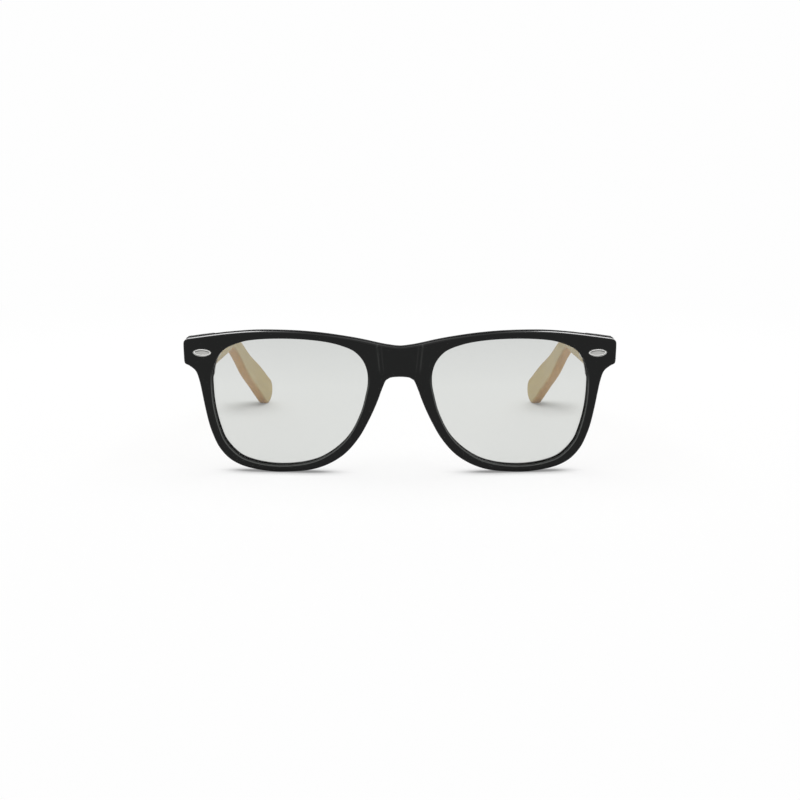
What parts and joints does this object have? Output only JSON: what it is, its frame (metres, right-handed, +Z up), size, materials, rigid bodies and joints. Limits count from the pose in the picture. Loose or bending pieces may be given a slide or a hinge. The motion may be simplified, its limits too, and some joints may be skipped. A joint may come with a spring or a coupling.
{
  "type": "sunglasses",
  "caption": "Square-cornered glasses frame with winged end pieces, pale clear lenses, moulded nose pads and folding bamboo temples on sprung hinges.",
  "frame": {"origin": "on the ground below the middle of the glasses: middle of the width and of the whole depth, at the height of the surface that they stand on", "axes": "+X to the viewer's right when facing the front, +Y from the front to the ear ends, +Z up"},
  "size_m": [0.146, 0.1418, 0.049],
  "materials": {
    "frame": "gloss",
    "lens": "clear, pale grey",
    "plate": "polished",
    "hinge": "satin",
    "bamboo": "satin"
  },
  "bodies": {
    "front": {"frame_front": "frame", "lens_left": "lens", "lens_right": "lens", "rivet_plate_left": "plate", "rivet_plate_right": "plate", "hinge_leaf_left": "hinge", "hinge_leaf_right": "hinge", "hinge_screw_left": "hinge", "hinge_screw_right": "hinge"},
    "slider_left": {"hinge_slider_left": "hinge", "spring_cap_left": "hinge", "hinge_spring_left": "hinge"},
    "slider_right": {"hinge_slider_right": "hinge", "spring_cap_right": "hinge", "hinge_spring_right": "hinge"},
    "temple_left": {"temple_left": "bamboo", "spring_box_left": "hinge", "box_screws_left": "hinge"},
    "temple_right": {"temple_right": "bamboo", "spring_box_right": "hinge", "box_screws_right": "hinge"}
  },
  "joints": [
    {"name": "fold_left", "type": "hinge", "parent": "front", "child": "slider_left", "pos_m": [-0.064, -0.05698, 0.03961], "axis": [0, 0, -1], "range_deg": [-7, 79]},
    {"name": "fold_right", "type": "hinge", "parent": "front", "child": "slider_right", "pos_m": [0.064, -0.05698, 0.03961], "axis": [0, 0, 1], "range_deg": [-7, 86]},
    {"name": "draw_left", "type": "slide", "parent": "slider_left", "child": "temple_left", "axis": [0, 1, 0], "range_m": [0, 0.0012], "stiffness_N_per_m": 600, "springref_m": -0.0015, "deforming": ["hinge_spring_left"]},
    {"name": "draw_right", "type": "slide", "parent": "slider_right", "child": "temple_right", "axis": [0, 1, 0], "range_m": [0, 0.0012], "stiffness_N_per_m": 600, "springref_m": -0.0015, "deforming": ["hinge_spring_right"]}
  ]
}
